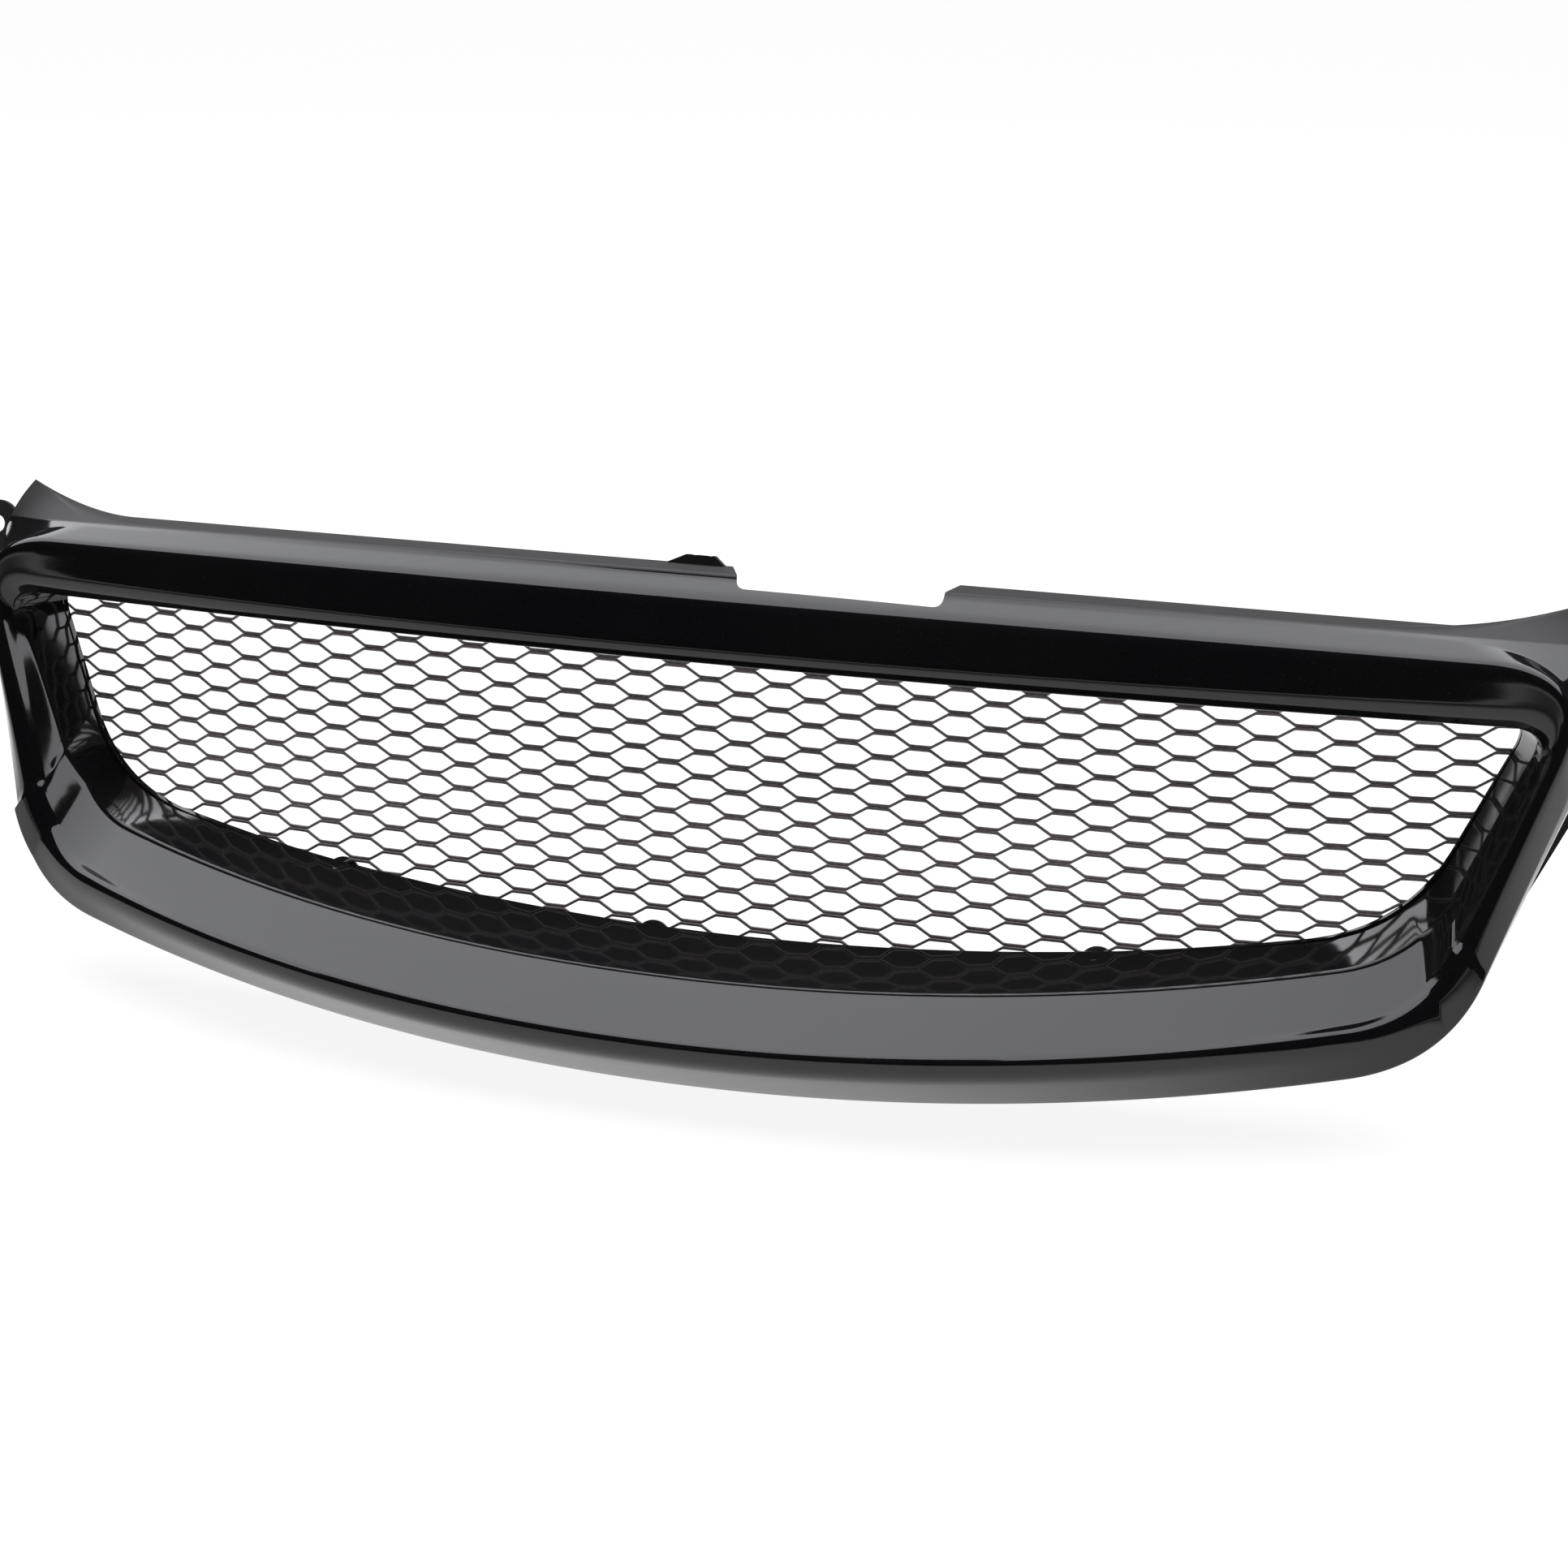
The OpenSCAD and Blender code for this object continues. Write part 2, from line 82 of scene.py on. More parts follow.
ROLL = (OUTER_X + 8, BAR_TOP + 6.5, 0, 55, OUTER_CHIN - 4, CORNER_Z - 15.5, 28, CHIN_BOTTOM,
        BAR_FRONT + 7, SIDE_FRONT + 4, CORNER_FRONT - 1, NOSE_FRONT + 26, 0, 0)
STEP = (OUTER_X + 11, BAR_TOP + 8.5, 0, 55, OUTER_CHIN - 4, CORNER_Z - 15.5, 28, CHIN_BOTTOM + 1,
        BAR_FRONT + 8, SIDE_FRONT + 9, CORNER_FRONT + 9, NOSE_FRONT + 38, 0, 0)
REAR = (OUTER_X + 13, FLANGE_Z, 0, 18, OUTER_CHIN - 7, CORNER_Z - 13, 28, CHIN_BOTTOM + 6,
        FLANGE_BACK, EAR_BACK, 3, NOSE_FRONT + 57, 11, 7)


def bulge(x, w, n):
    """1 on the centre line, falling to 0 at x = w by the power n."""
    return 1 - np.clip(np.abs(x) / w, 0, 1) ** n


def bend(a, p, c, n):
    """n points of the quadratic curve from a to c that leans towards p, without its last point."""
    t = (np.arange(n) / n).reshape(-1, *([1] * a.ndim))
    return (1 - t) ** 2 * a + 2 * t * (1 - t) * p + t * t * c


def side_x(s, z):
    """Half width of the loop at height z on its straight side."""
    return s[0] + (s[4] - s[0]) * (s[1] - s[13] - z) / (s[1] - s[13] - s[5])


def bottom_z(s, x):
    """Height of the loop's bottom at x: a parabola from the centre up to the lower corner."""
    return s[7] + (s[5] - s[7]) * (x / s[4]) ** 2


def top_y(s, x):
    """Depth of the loop's top: a parabola from the centre line back to the upper corner."""
    return s[9] + (s[8] - s[9]) * bulge(x, s[0], 2)


def loop(s, n=96):
    """One closed loop of the moulding as (points, 3), clockwise seen from the front.

    Along the top z droops as a parabola and the ears rise by a power; the corners are quadratic curves,
    the sides straight, and the bottom is a parabola. Depth falls from the centre to the corners by a power of x."""
    upper, lower = np.array([s[0], s[1] - s[13]]), np.array([s[4], s[5]])
    along = (lower - upper) / np.linalg.norm(lower - upper)

    def top_z(x):
        ear = np.clip((x - EAR_START) / (s[0] - s[3] - EAR_START), 0, 1) ** 1.8
        return s[1] - s[2] * bulge(x, s[0], 2) + s[12] * ear

    def bottom_y(x):
        return s[10] + (s[11] - s[10]) * bulge(x, s[4], 2.4)

    a = np.array([s[0] - s[3], top_z(s[0] - s[3])])
    c, d = upper + along * s[3], lower - along * s[6]
    e = np.array([s[4] - s[6], bottom_z(s, s[4] - s[6])])
    x = a[0] * np.arange(n) / n
    parts = [np.c_[x, top_y(s, x), top_z(x)]]
    p = bend(a, upper, c, n // 2)
    parts.append(np.c_[p[:, 0], top_y(s, p[:, 0]), p[:, 1]])
    t = np.arange(n // 3) / (n // 3)
    p = c + (d - c) * t[:, None]
    side_y = s[10] + (s[9] - s[10]) * np.clip((p[:, 1] - s[5]) / (upper[1] - s[5]), 0, 1)
    parts.append(np.c_[p[:, 0], side_y * t + top_y(s, p[:, 0]) * (1 - t), p[:, 1]])
    p = bend(d, lower, e, n // 2)
    parts.append(np.c_[p[:, 0], bottom_y(p[:, 0]), p[:, 1]])
    x = e[0] * (1 - np.arange(n + 1) / n)
    parts.append(np.c_[x, bottom_y(x), bottom_z(s, x)])
    half = np.vstack(parts)
    return np.vstack([half, half[-2:0:-1] * [-1, 1, 1]])


def mesh_y(x):
    """Depth of the mesh plane at x: straight in the middle, folded back at the ends by a short soft bend."""
    past = np.abs(x) - FLAT
    soft = (past + SOFT_BEND) ** 2 / (4 * SOFT_BEND)
    return np.where(past > SOFT_BEND, past, np.where(past < -SOFT_BEND, 0, soft)) * FOLD


ROWS = [loop(s) for s in (WINDOW, CREASE, EDGE, LIP, CREST, ROLL, STEP, REAR)]
ROWS[0][:, 1] = mesh_y(ROWS[0][:, 0]) - MESH_T / 2


def across(rows, cuts, fine=6):
    """A smooth section through the rows: every inner row is a corner rounded by its cut in millimetres.

    Each corner becomes the quadratic curve between the points that lie its cut away on the two neighbouring
    straight stretches, and never past the middle of a stretch."""
    out = [rows[0][None]]
    for k in range(1, len(rows) - 1):
        back, ahead = rows[k - 1] - rows[k], rows[k + 1] - rows[k]
        reach = [np.minimum(cut / np.linalg.norm(v, axis=1), 0.49)[:, None] * v
                 for cut, v in zip(cuts[k - 1], (back, ahead))]
        a, c = rows[k] + reach[0], rows[k] + reach[1]
        start = out[-1][-1]
        out.append(start + (a - start) * (np.arange(1, 4) / 4)[:, None, None])
        out.append(bend(a, rows[k], c, fine))
        out.append(c[None])
    start = out[-1][-1]
    out.append(start + (rows[-1] - start) * (np.arange(1, 5) / 4)[:, None, None])
    return np.concatenate(out)


def normals(grid):
    """Unit normals, outwards, of a grid (rows, stations, 3) that closes on itself along the stations."""
    over = np.gradient(grid, axis=0)
    along = np.roll(grid, -1, 1) - np.roll(grid, 1, 1)
    n = np.cross(along, over)
    return n / np.linalg.norm(n, axis=2, keepdims=True)


def wall_of(grid, t):
    """A closed wall: the outer grid, then the same grid moved back by thickness t along its normals."""
    return np.concatenate([grid, (grid - t * normals(grid))[::-1]])


def grid_faces(rows, cols, first=0, close_rows=True):
    """Quads of a grid that closes on itself along its columns, and along its rows too when asked."""
    r = np.arange(rows if close_rows else rows - 1)[:, None]
    c = np.arange(cols)[None]
    r2, c2 = (r + 1) % rows, (c + 1) % cols
    quads = np.stack([r * cols + c, r * cols + c2, r2 * cols + c2, r2 * cols + c], axis=2)
    return quads.reshape(-1, 4) + first


def placed(points):
    """Leans upright millimetre points back, stands them on the floor and returns metres."""
    p = np.asarray(points, float)
    y = p[..., 1] * math.cos(LEAN) + p[..., 2] * math.sin(LEAN) + SHIFT
    z = p[..., 2] * math.cos(LEAN) - p[..., 1] * math.sin(LEAN) + LIFT
    return np.stack([p[..., 0], y, z], axis=-1) * MM


# The lean and the place on the floor come from the frame: its lowest point, and the back of an end bracket
LIFT, SHIFT = 84.1459, 23.9601


def new_object(name, shells, smooth=True):
    """One object from a list of (points, faces) shells, each numbered from its own first point."""
    points, faces, first = [], [], 0
    for pts, quads in shells:
        points.append(pts.reshape(-1, 3))
        faces.extend([[corner + first for corner in face] for face in np.asarray(quads, object).tolist()])
        first += len(points[-1])
    mesh = bpy.data.meshes.new(name)
    mesh.from_pydata(placed(np.vstack(points)), [], faces)
    mesh.polygons.foreach_set("use_smooth", np.full(len(mesh.polygons), smooth))
    mesh.validate()
    mesh.update()
    ob = bpy.data.objects.new(name, mesh)
    bpy.context.collection.objects.link(ob)
    return ob


def turned(profile, at, axis, n=32):
    """A solid of revolution: a closed profile of (radius, height) turned about an axis at a point."""
    axis = np.asarray(axis, float) / np.linalg.norm(axis)
    side = np.cross(axis, [0, 0, 1.0])
    side /= np.linalg.norm(side)
    a = np.arange(n) * 2 * math.pi / n
    ring = np.cos(a)[:, None] * side + np.sin(a)[:, None] * np.cross(axis, side)
    profile = np.asarray(profile, float)
    pts = np.asarray(at) + profile[:, 0, None, None] * ring + profile[:, 1, None, None] * axis
    return pts, grid_faces(len(profile), n)


def tube(r, hole, length):
    """Profile of a boss with a blind hole, both measured back from its open end at height 0."""
    floor = 3 - length
    return [(hole, 0), (r - 0.4, 0), (r, -0.4), (r, -length), (0.01, -length), (0.01, floor), (hole, floor)]


# The parting line with the duct runs just inside the front edge of the opening
shelf = ROWS[1] - ROWS[2]
parting = ROWS[2] + shelf / np.linalg.norm(shelf, axis=1)[:, None] * 1.6
bezel_grid = across([parting] + ROWS[2:], [(0.8, 0.8), (3.4, 3.4), (3.5, 4.5), (1.0, 0.7), (0.7, 1.0)])
JOINT_X = [HALF_TOP * share for share in (-0.83, -0.43, 0.43, 0.83)]
JOINT_Z = FLANGE_Z - 10
JOINT_BOSS_R = 4.0
SCREW_HOLE_R = 2.05
PLATE_T = 2.5
bosses = []
for x in JOINT_X:
    fold = -math.copysign(FOLD, x) if abs(x) > FLAT else 0.0
    back = float(mesh_y(x)) - MESH_T / 2 - PLATE_T
    boss = tube(JOINT_BOSS_R, SCREW_HOLE_R, back - float(top_y(STEP, x)) + WALL)
    bosses.append(turned(boss, (x, back, JOINT_Z), (fold, 1, 0)))
BRACKET_Y = EAR_BACK + 2
BRACKET_BOSS_R, BRACKET_BOSS_L = 4.5, 24
BRACKET_SCREWS = [(side * (side_x(STEP, z) - WALL - 3), z) for side in (-1, 1) for z in (-15, 15)]
bosses += [turned(tube(BRACKET_BOSS_R, SCREW_HOLE_R, BRACKET_BOSS_L), (x, BRACKET_Y, z), (0, 1, 0))
           for x, z in BRACKET_SCREWS]


# The latch notch is cut through the flange and the step from above; its left side flares to the back
NOTCH_LEFT, NOTCH_RIGHT = 9.5, 78.5
NOTCH_FRONT, NOTCH_BACK = FLANGE_BACK - 25, FLANGE_BACK + 26
NOTCH_FLARE = 10 / 25
NOTCH = [(NOTCH_LEFT, NOTCH_FRONT), (NOTCH_RIGHT, NOTCH_FRONT), (NOTCH_RIGHT, NOTCH_BACK),
         (NOTCH_LEFT - NOTCH_FLARE * (NOTCH_BACK - NOTCH_FRONT), NOTCH_BACK)]


def notch_outline(radius=3.0):
    """The notch seen from above, its two front corners rounded by quadratic curves of the given reach."""
    p = np.asarray(NOTCH, float)
    out = []
    for k in (0, 1):
        back, ahead = p[k - 1] - p[k], p[k + 1] - p[k]
        a = p[k] + back / np.linalg.norm(back) * radius
        c = p[k] + ahead / np.linalg.norm(ahead) * radius
        out.append(bend(a, p[k], c, 6))
        out.append(c[None])
    return np.vstack(out + [p[2:]])


def cut(ob, outline, z0, z1):
    """Cuts a prism out of an object: an outline of (x, y) points between two upright heights."""
    n = len(outline)
    pts = np.vstack([np.c_[outline, np.full(n, z)] for z in (z0, z1)])
    i = np.arange(n)
    j = (i + 1) % n
    faces = np.c_[i, j, j + n, i + n].tolist() + [list(range(n - 1, -1, -1)), list(range(n, 2 * n))]
    tool = new_object("cutter", [(pts, faces)], smooth=False)
    hole = ob.modifiers.new("notch", "BOOLEAN")
    hole.operation, hole.solver, hole.object = "DIFFERENCE", "MANIFOLD", tool
    done = bpy.data.meshes.new_from_object(ob.evaluated_get(bpy.context.evaluated_depsgraph_get()))
    ob.modifiers.clear()
    ob.data = done
    bpy.data.objects.remove(tool)


def add_shells(ob, shells):
    """Adds more closed shells to an object's mesh."""
    more = new_object("more", shells)
    with bpy.context.temp_override(active_object=ob, selected_editable_objects=[ob, more]):
        bpy.ops.object.join()


bezel_wall = wall_of(bezel_grid, WALL)
bezel = new_object("bezel_moulding", [(bezel_wall, grid_faces(*bezel_wall.shape[:2]))])
cut(bezel, notch_outline(), BAR_TOP - WALL, BAR_TOP + 29)

# The tongue: a low fin on the back edge of the flange, its top edge left rough by the gate it was cut from
TONGUE_X = NOTCH_LEFT - 22.5
TONGUE_HALF, TONGUE_H = 10.0, 2.9
ROUGH_POINTS = 12
rough = np.sin(np.linspace(0, 17, ROUGH_POINTS)) * np.sin(np.linspace(0.4, 5.2, ROUGH_POINTS))
tongue_top = np.c_[np.linspace(-3.6, 6.4, ROUGH_POINTS), TONGUE_H + 0.14 * rough]
tongue_line = np.vstack([[(TONGUE_HALF, -2), (TONGUE_HALF, 0)], tongue_top[::-1],
                         [(-TONGUE_HALF, 0), (-TONGUE_HALF, -2)]])
sides = len(tongue_line)
tongue = (np.vstack([np.c_[tongue_line[:, 0] + TONGUE_X, np.full(sides, y), tongue_line[:, 1] + FLANGE_Z]
                     for y in (FLANGE_BACK - WALL, FLANGE_BACK)]),
          [[i, i + sides, (i + 1) % sides + sides, (i + 1) % sides] for i in range(sides)]
          + [list(range(sides)), list(range(2 * sides - 1, sides - 1, -1))])
add_shells(bezel, [tongue] + bosses)
bezel.data.set_sharp_from_angle(angle=math.radians(38))


class Wire:
    """A shader value that arithmetic works on: each operator adds one Math node."""

    def __init__(self, shader, socket):
        self.shader, self.socket = shader, socket

    def maths(self, operation, *others, swap=False):
        values = [self, *others]
        if swap:
            values.reverse()
        return self.shader.node("ShaderNodeMath", {"operation": operation}, dict(enumerate(values)))

    def __add__(self, other):
        return self.maths("ADD", other)

    def __sub__(self, other):
        return self.maths("SUBTRACT", other)

    def __rsub__(self, other):
        return self.maths("SUBTRACT", other, swap=True)

    def __mul__(self, other):
        return self.maths("MULTIPLY", other)

    __radd__ = __add__
    __rmul__ = __mul__


class Shader:
    """A material with one Principled shader, and one method that adds any other node."""

    def __init__(self, name, **values):
        self.material = bpy.data.materials.new(name)
        self.material.use_nodes = True
        self.tree = self.material.node_tree
        self.principled = self.tree.nodes["Principled BSDF"]
        self.set(**values)

    def node(self, kind, settings=None, inputs=None, output=0):
        new = self.tree.nodes.new(kind)
        for key, value in (settings or {}).items():
            setattr(new, key, value)
        for key, value in (inputs or {}).items():
            self.feed(new.inputs[key], value)
        return Wire(self, new.outputs[output])

    def feed(self, socket, value):
        if isinstance(value, Wire):
            self.tree.links.new(value.socket, socket)
        else:
            socket.default_value = value

    def set(self, **values):
        for key, value in values.items():
            self.feed(self.principled.inputs[key.replace("_", " ")], value)

    def place(self):
        return self.node("ShaderNodeTexCoord", output="Object")

    def noise(self, scale, detail=3.0, rough=0.5):
        return self.node("ShaderNodeTexNoise", None,
                         {"Vector": self.place(), "Scale": scale, "Detail": detail, "Roughness": rough})

    def band(self, value, low, high, to_low=0.0, to_high=1.0):
        limits = {"From Min": low, "From Max": high, "To Min": to_low, "To Max": to_high}
        return self.node("ShaderNodeMapRange", {"clamp": True}, {"Value": value, **limits})

    def mix(self, amount, a, b):
        return self.node("ShaderNodeMix", {"data_type": "RGBA"}, {"Factor": amount, 6: a, 7: b}, output=2)

    def bump(self, height, distance, strength=1.0):
        values = {"Height": height, "Distance": distance, "Strength": strength}
        return self.node("ShaderNodeBump", None, values)


def gloss_black(name):
    """Moulded gloss black plastic: near black, with the slight waviness of a polished tool and fine dust.

    Above the step the flange is left satin, since the bonnet hides it."""
    shader = Shader(name, IOR=1.5)
    wave = shader.noise(55.0, 2.0)
    dust = shader.band(shader.noise(2600.0, 1.0), 0.70, 0.78)
    haze = shader.band(shader.noise(18.0, 4.0), 0.35, 0.7)
    tone = shader.mix(haze, (0.0050, 0.0046, 0.0056, 1), (0.0072, 0.0064, 0.0072, 1))
    back = shader.node("ShaderNodeSeparateXYZ", None, {"Vector": shader.place()}, output=1)
    up = shader.node("ShaderNodeSeparateXYZ", None, {"Vector": shader.place()}, output=2)
    upright = (up - LIFT * MM) * math.cos(LEAN) + (back - SHIFT * MM) * math.sin(LEAN)
    satin = shader.band(upright, (STEP[1] - 1.2) * MM, (STEP[1] - 0.4) * MM)
    shader.set(Base_Color=shader.mix(dust * 0.5, tone, (0.05, 0.05, 0.052, 1)),
               Roughness=0.055 + haze * 0.035 + dust * 0.2 + satin * 0.5,
               Normal=shader.bump(wave + shader.noise(900.0, 1.0) * 0.02, 0.00006))
    return shader.material


bezel.data.materials.clear()
bezel.data.materials.append(gloss_black("gloss_black_bezel"))
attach(bezel, "root")
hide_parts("bezel")

# ---------------------------------------------------------------------------
# Duct. A second gloss black moulding that fits inside the bezel: the smooth
# shelf and walls that lead back to the mesh, and behind them the plate that
# carries the mesh, with screw tabs above and two locating pins below.
# ---------------------------------------------------------------------------
PLATE = (-MESH_T / 2 - PLATE_T, -MESH_T / 2)
LAP = 12.0
BOSS_L, BOSS_R = 5.0, 3.5
duct_grid = across([ROWS[0], ROWS[1], parting], [(1.6, 1.6)], fine=6)
duct_wall = wall_of(duct_grid, WALL)


def grown(points, reach):
    """A loop moved outwards by a distance, square to its own run in x and z."""
    along = np.roll(points, -1, 0) - np.roll(points, 1, 0)
    out = np.c_[-along[:, 2], np.zeros(len(points)), along[:, 0]]
    return points + reach * out / np.linalg.norm(out, axis=1)[:, None]


def on_sheet(points, depth):
    """Moves points to a depth off the mesh plane."""
    return np.c_[points[:, 0], mesh_y(points[:, 0]) + depth, points[:, 2]]


def prism(outline, depth):
    """A plate cut from the folded sheet: an outline of (x, z) points between two depths off the mesh."""
    outline = np.asarray(outline, float)
    n = len(outline)
    pts = np.vstack([np.c_[outline[:, 0], mesh_y(outline[:, 0]) + d, outline[:, 1]] for d in depth])
    i = np.arange(n)
    j = (i + 1) % n
    faces = np.c_[i, i + n, j + n, j].tolist()
    return pts, faces + [list(range(n)), list(range(2 * n - 1, n - 1, -1))]


def arc(x, z, r, start, end, n=12):
    """Points of a circular arc in x and z, from one angle to another in degrees."""
    a = np.radians(np.linspace(start, end, n))
    return np.c_[x + r * np.cos(a), z + r * np.sin(a)]


plate = np.stack([on_sheet(grown(ROWS[0], 0.6), PLATE[0]), on_sheet(grown(ROWS[0], LAP), PLATE[0]),
                  on_sheet(grown(ROWS[0], LAP), PLATE[1]), on_sheet(grown(ROWS[0], 0.6), PLATE[1])])
lower_screws = [(x, bottom_z(WINDOW, x) - 5) for x in (-HALF_TOP / 2, -18, HALF_TOP / 2)]
upper_screws = [(HALF_TOP * share, WINDOW_TOP + 7) for share in (-0.7, -0.22, 0.22, 0.7)]
details = []
for x, z in lower_screws + upper_screws:
    lean_in = -math.copysign(FOLD, x) if abs(x) > FLAT else 0.0
    boss = [(0.01, 0), (BOSS_R - 0.4, 0), (BOSS_R, 0.4), (BOSS_R, BOSS_L + 2), (0.01, BOSS_L + 2)]
    details.append(turned(boss, (x, float(mesh_y(x)) + PLATE[0] - BOSS_L, z), (lean_in, 1, 0)))
for x in JOINT_X:
    foot = [(x - JOINT_BOSS_R, WINDOW_TOP + 4), (x + JOINT_BOSS_R, WINDOW_TOP + 4)]
    tab = np.vstack([arc(x, JOINT_Z, JOINT_BOSS_R, 0, 180), foot])
    details.append(prism(tab, PLATE))
PIN_X = 0.35 * HALF_TOP
PIN_Z = bottom_z(WINDOW, PIN_X) - 17
PIN_R, PIN_L, PIN_TAB_R = 4.0, 15.0, 6.5
pin = [(0.01, 0), (PIN_R, 0), (PIN_R, PIN_L - 0.8), (PIN_R - 0.8, PIN_L), (0.01, PIN_L)]
for x in (-PIN_X, PIN_X):
    foot = [(x + PIN_TAB_R, PIN_Z + 2 * PIN_TAB_R), (x - PIN_TAB_R, PIN_Z + 2 * PIN_TAB_R)]
    details.append(prism(np.vstack([arc(x, PIN_Z, PIN_TAB_R, 180, 360), foot]), PLATE))
    details.append(turned(pin, (x, PLATE[1], PIN_Z), (0, 1, 0)))
duct = new_object("duct_moulding", [(duct_wall, grid_faces(*duct_wall.shape[:2])),
                                    (plate, grid_faces(*plate.shape[:2]))] + details)
duct.data.set_sharp_from_angle(angle=math.radians(38))
duct.data.materials.append(gloss_black("gloss_black_duct"))
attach(duct, "root")
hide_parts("duct")

# ---------------------------------------------------------------------------
# Mesh. One sheet of expanded aluminium painted dark grey: wavy strands that
# meet in long bonds, each bond stepped where the upper strand sits further
# back. It lies on the duct's plate under the screws and is cut off raw.
# ---------------------------------------------------------------------------
CELL_L, CELL_H = 25.0, 8.35
BOND_L, BOND_H = 7.6, 2.0
STRAND = 1.08
STRAND_HALF_DEPTH = 0.52
BOND_STEP = 0.28
CELL_X = 8.1
MESH_LAP = 11.0
MESH_TURN = math.tan(math.radians(0.26))


def half_width(z):
    """How far the sheet reaches from the centre line at height z: its sloping side or curved bottom."""
    w = side_x(WINDOW, z) + MESH_LAP * 0.9
    drop = np.clip((z + MESH_LAP - WINDOW[7]) / (WINDOW[5] - WINDOW[7]), 0, None)
    return np.minimum(w, WINDOW[4] * np.sqrt(drop) + 3)


def strand(row):
    """One strand of the sheet as a closed bar of six sides.

    It runs level along a bond of the cells below, climbs to a bond of the cells above and back again. The
    level stretch below is the upper half of its bond and sits back; the one above is the lower half and
    sits forward."""
    z0 = row * CELL_H / 2
    reach = float(half_width(z0 + CELL_H / 4))
    steps = int(reach / (CELL_L / 2)) + 2
    k = np.arange(-steps, steps + 1)
    centre = CELL_X + k * CELL_L / 2
    high = (k + row) % 2 == 0
    level = np.where(high, CELL_H / 2 - BOND_H / 4, BOND_H / 4)
    x = (centre[:, None] + np.array([-0.5, -0.38, 0.38, 0.5]) * BOND_L).ravel()
    soften = np.array([0.03, 0.0, 0.0, 0.03]) * (CELL_H / 2 - BOND_H / 2)
    z = (level[:, None] + np.where(high, -1, 1)[:, None] * soften).ravel() + z0
    back = np.repeat(np.where(high, -BOND_STEP, BOND_STEP), 4)
    keep = np.abs(x) < reach
    x, z, back = x[keep], z[keep], back[keep]
    if len(x) < 4:
        return None
    slope = np.gradient(z, x)
    tall = STRAND / 2 * np.sqrt(1 + slope ** 2)
    ring = np.array([(-1, -0.55), (-0.6, -1), (0.6, -1), (1, -0.55),
                     (1, 0.55), (0.6, 1), (-0.6, 1), (-1, 0.55)])
    t = x / 250
    lift = 25 * (0.035 * t ** 2 + 0.082 * t ** 4) + x * MESH_TURN
    pts = np.stack([np.repeat(x[:, None], 8, 1),
                    (mesh_y(x) + back)[:, None] + ring[None, :, 1] * STRAND_HALF_DEPTH,
                    (z + lift)[:, None] + ring[None, :, 0] * tall[:, None]], axis=2)
    n = len(x)
    faces = grid_faces(n, 8, close_rows=False).tolist()
    return pts, faces + [list(range(7, -1, -1)), list(range(8 * n - 8, 8 * n))]


strands = [strand(row) for row in range(-15, 13)]
mesh = new_object("mesh_sheet", [s for s in strands if s])
mesh.data.set_sharp_from_angle(angle=math.radians(50))
paint = Shader("dark_grey_paint", IOR=1.5)
worn = paint.band(paint.noise(700.0, 3.0), 0.4, 0.7)
paint.set(Base_Color=paint.mix(worn, (0.200, 0.172, 0.176, 1), (0.290, 0.255, 0.260, 1)),
          Roughness=0.34 + worn * 0.18,
          Normal=paint.bump(paint.noise(2200.0, 2.0), 0.00004))
mesh.data.materials.append(paint.material)
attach(mesh, "root")
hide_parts("mesh_panel")

# ---------------------------------------------------------------------------
# Screws and washers. Pan head self-tapping screws, black on the mesh and the
# joint, zinc plated with wide plated washers under the mesh screws.
# ---------------------------------------------------------------------------
def show(nodes, material, edge=0.0):
    """Gives the part's own solids a material and, where they are sheet metal, a small worn edge."""
    for name in nodes:
        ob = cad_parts[name]
        ob.data.materials.clear()
        ob.data.materials.append(material)
        if edge:
            rounded = ob.modifiers.new("worn_edge", "BEVEL")
            rounded.width, rounded.segments, rounded.limit_method = edge, 2, "ANGLE"


oxide = Shader("black_oxide", IOR=1.45, Metallic=0.6)
rub = oxide.band(oxide.noise(900.0, 4.0), 0.5, 0.72)
oxide.set(Base_Color=oxide.mix(rub, (0.018, 0.017, 0.018, 1), (0.09, 0.085, 0.08, 1)),
          Roughness=0.36 - rub * 0.12)
show(["lower_mesh_screws", "upper_mesh_screws", "joint_screws"], oxide.material)

zinc = Shader("zinc_plate", Metallic=1.0)
grain = zinc.noise(1500.0, 5.0)
zinc.set(Base_Color=zinc.mix(zinc.noise(260.0, 2.0), (0.40, 0.40, 0.42, 1), (0.58, 0.575, 0.56, 1)),
         Roughness=0.24 + grain * 0.2,
         Normal=zinc.bump(grain, 0.00002))
show(["lower_mesh_washers", "upper_mesh_washers"], zinc.material)
show(["bracket_screws_left", "bracket_screws_right"], zinc.material)

# ---------------------------------------------------------------------------
# End brackets. Pressed 2 mm steel plates in black electrocoat, screwed to the
# side bosses, each with a round top and one bolt hole outboard of the ear.
# ---------------------------------------------------------------------------
coat = Shader("black_electrocoat", IOR=1.5)
stipple = coat.noise(1200.0, 3.0)
cloud = coat.band(coat.noise(60.0, 4.0), 0.4, 0.7)
coat.set(Base_Color=coat.mix(cloud, (0.010, 0.010, 0.010, 1), (0.022, 0.021, 0.020, 1)),
         Roughness=0.42 + stipple * 0.12,
         Normal=coat.bump(stipple, 0.00006))
show(["end_bracket_left", "end_bracket_right"], coat.material, edge=0.0004)

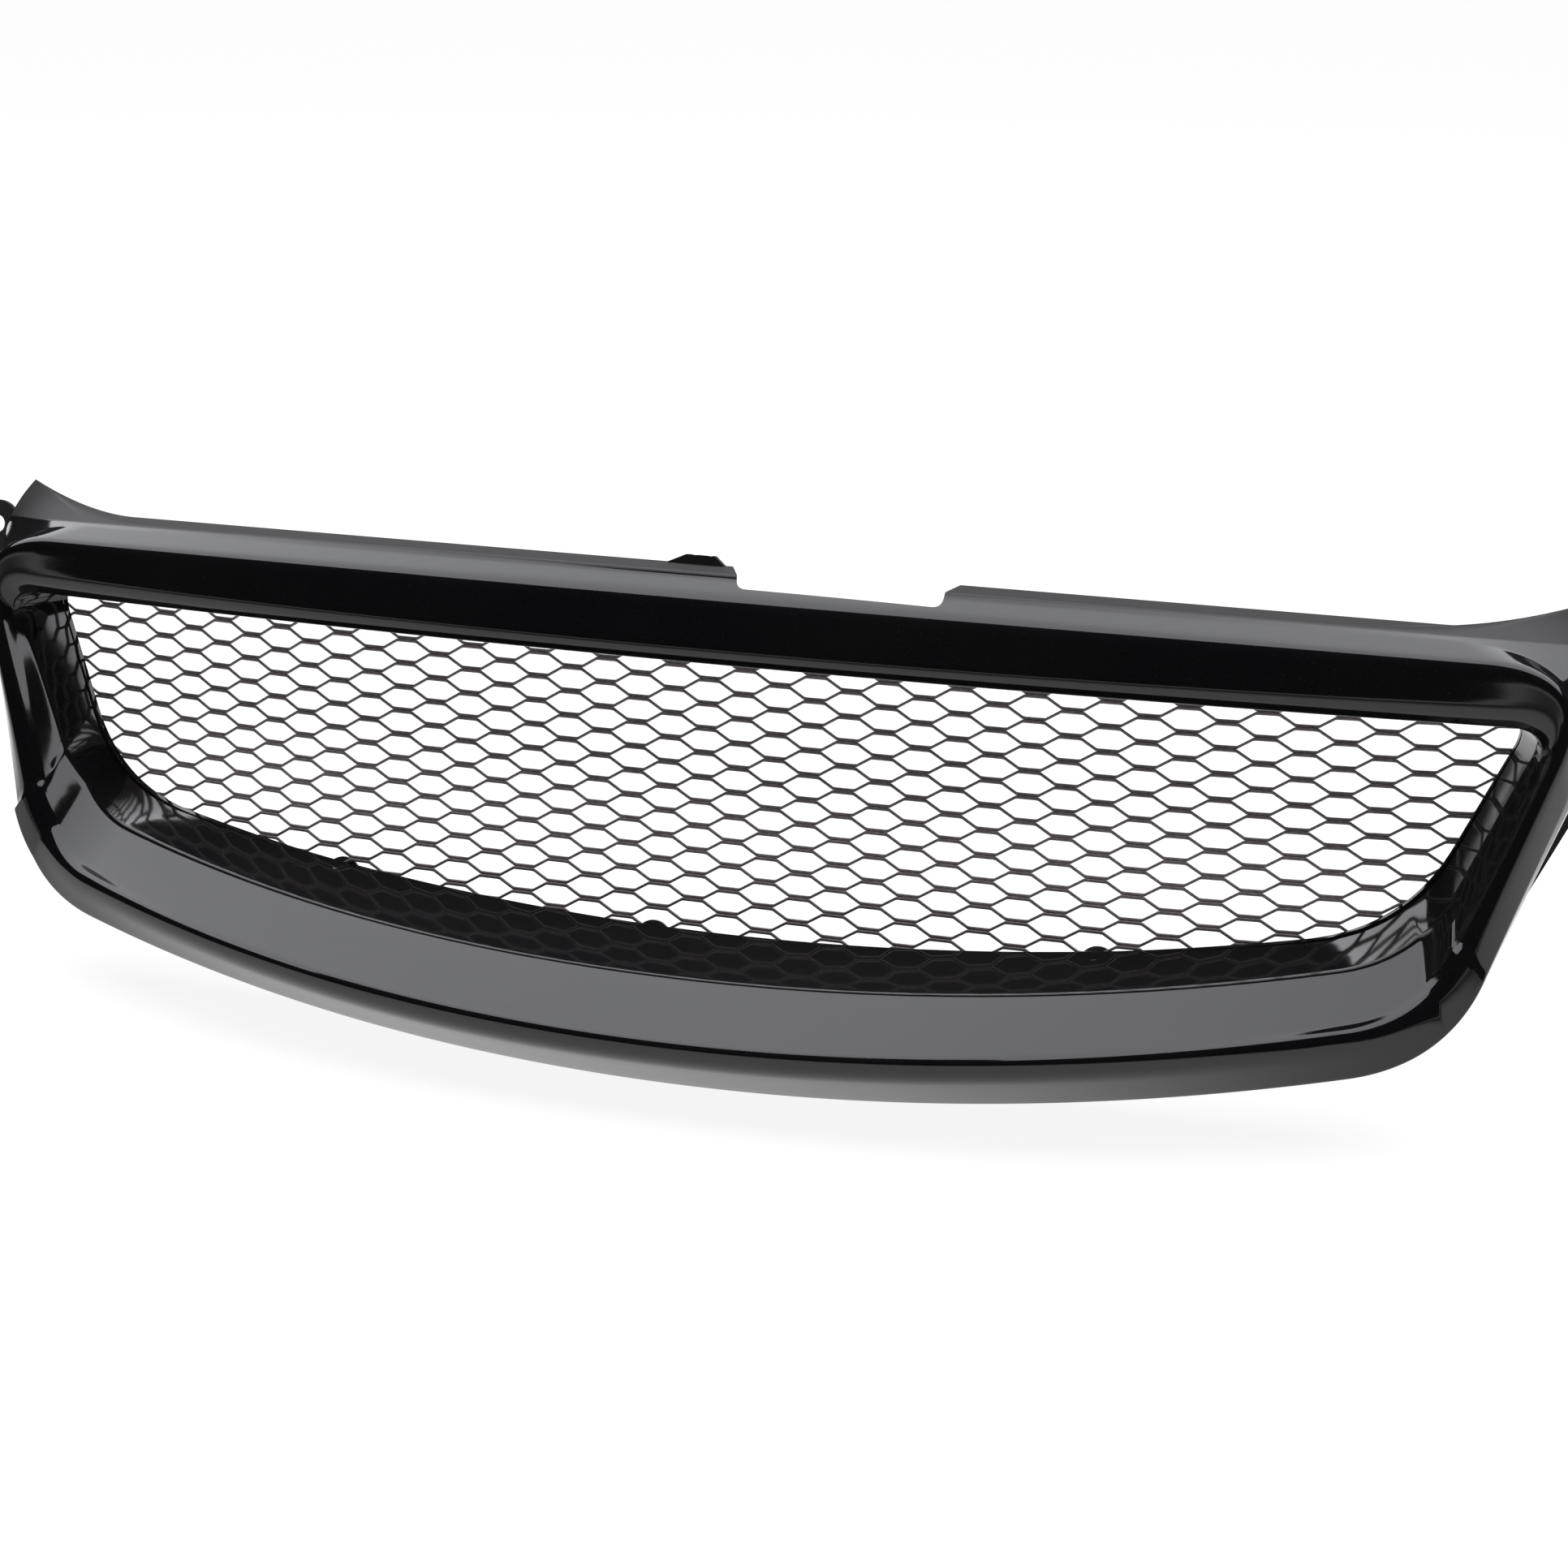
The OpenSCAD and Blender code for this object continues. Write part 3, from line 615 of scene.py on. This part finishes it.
# ---------------------------------------------------------------------------
# Studio. Dark grey paper under the part that glows to look white, so that
# shadows stay faint, with a painted shade strip where its glow drops just in
# front of the part; one large soft box overhead, in an otherwise dim room.
# ---------------------------------------------------------------------------
bpy.ops.mesh.primitive_plane_add(size=13.6)
floor = bpy.context.object
floor.name = "paper_floor"
# The paper itself is dark grey; it glows, and the glow carries painted shade.
paper = Shader("glowing_paper_with_painted_shade", Roughness=0.9, Specular_IOR_Level=0.0)
depth = paper.node("ShaderNodeSeparateXYZ", None, {"Vector": paper.place()}, output=1)
# Painted shade: the glow drops to a dim strip just in front of the part, climbs back further forward, and rises a
# little far behind.
near_glow_and_painted_shade_strip = paper.band(depth, -0.8, -0.35, 0.1, 0.9) + paper.band(depth, -2.4, -1.2, 0.8, 0.0)
glow_with_painted_shade = near_glow_and_painted_shade_strip + paper.band(depth, 0.3, 2.0, 0.0, 0.08)
paper.set(Base_Color=paper.mix(paper.noise(6.0, 3.0), (0.15, 0.15, 0.15, 1), (0.16, 0.16, 0.16, 1)),
          Emission_Color=paper.mix(glow_with_painted_shade, (0, 0, 0, 1), (1.0, 1.0, 1.0, 1)), Emission_Strength=1.0)
floor.data.materials.append(paper.material)

box = bpy.data.lights.new("overhead_box", "AREA")
box.shape, box.size, box.size_y, box.energy = "RECTANGLE", 3.0, 1.5, 43.0
box.color = (0.965, 0.975, 1.0)
box_ob = bpy.data.objects.new("overhead_box", box)
bpy.context.collection.objects.link(box_ob)
box_ob.location = (-0.15, 0.5, 1.0)

world = bpy.data.worlds.new("dim_room")
world.use_nodes = True
# The far wall of the room is a little lighter than the rest
tree = world.node_tree
facing = tree.nodes.new("ShaderNodeSeparateXYZ")
tree.links.new(tree.nodes.new("ShaderNodeTexCoord").outputs["Generated"], facing.inputs["Vector"])
wall = tree.nodes.new("ShaderNodeMapRange")
tree.links.new(facing.outputs["Y"], wall.inputs["Value"])
for key, value in {"From Min": 0.1, "From Max": 0.8, "To Min": 0.012, "To Max": 0.03}.items():
    wall.inputs[key].default_value = value
tree.links.new(wall.outputs["Result"], tree.nodes["Background"].inputs["Color"])
bpy.context.scene.world = world
bpy.context.scene.view_settings.view_transform = "Standard"

cam_data = bpy.data.cameras.new("camera")
cam_data.sensor_width = 36
cam_data.lens = 36 * 3330.5 / 1932
cam = bpy.data.objects.new("camera", cam_data)
bpy.context.collection.objects.link(cam)
cam.location = (0.2825, -0.8190 + SHIFT * MM, 0.3058 + LIFT * MM)
cam.rotation_euler = (math.radians(90 - 19.57), 0, math.radians(17.47))
bpy.context.scene.camera = cam

bpy.context.view_layer.update()
